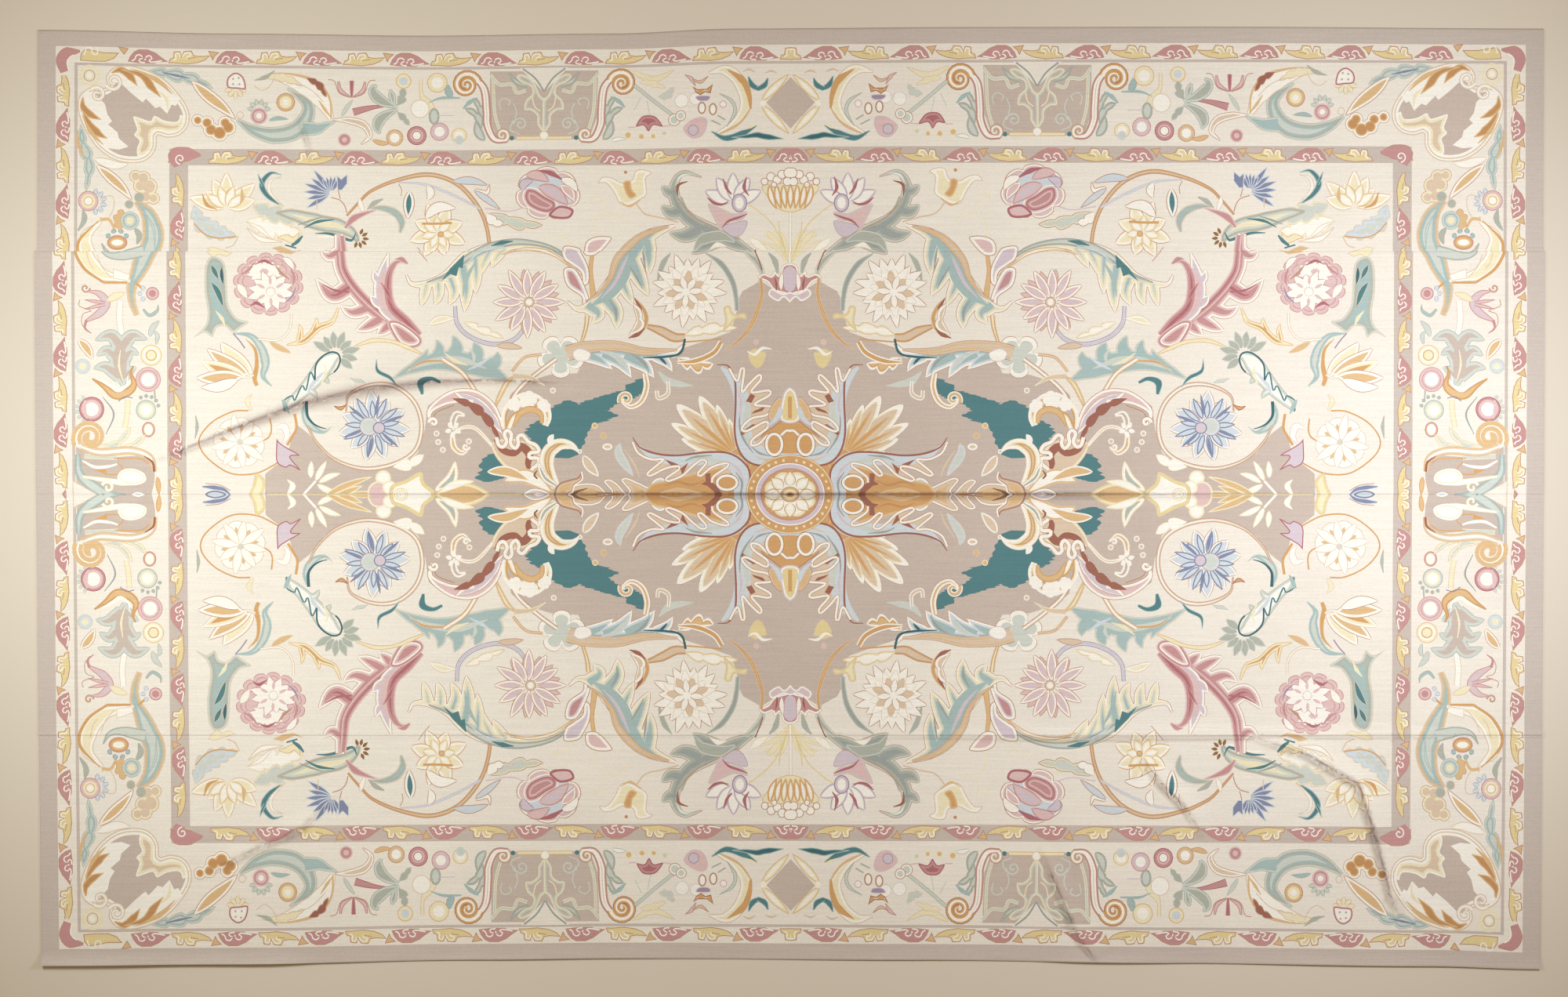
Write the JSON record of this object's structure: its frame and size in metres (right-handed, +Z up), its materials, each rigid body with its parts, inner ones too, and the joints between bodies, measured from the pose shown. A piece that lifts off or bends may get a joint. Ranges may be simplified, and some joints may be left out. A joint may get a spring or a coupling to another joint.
{
  "type": "needlepoint rug",
  "caption": "Large flat needlepoint rug, sewn from long stitched panels, with a floral border, a leafy field, a central medallion and soft creases.",
  "frame": {"origin": "on the floor, under the middle of the rug's outline", "axes": "+X along the rug's length, +Y across it towards the edge that is at the top of the picture, +Z up out of the stitched face"},
  "size_m": [4.895, 3.052, 0.0206],
  "materials": {
    "wool_needlepoint": "matt wool stitches on cotton canvas"
  },
  "bodies": {
    "root": {"upper_outer_panel": "wool_needlepoint", "upper_inner_panel": "wool_needlepoint", "lower_inner_panel": "wool_needlepoint", "lower_outer_panel": "wool_needlepoint"}
  },
  "joints": []
}
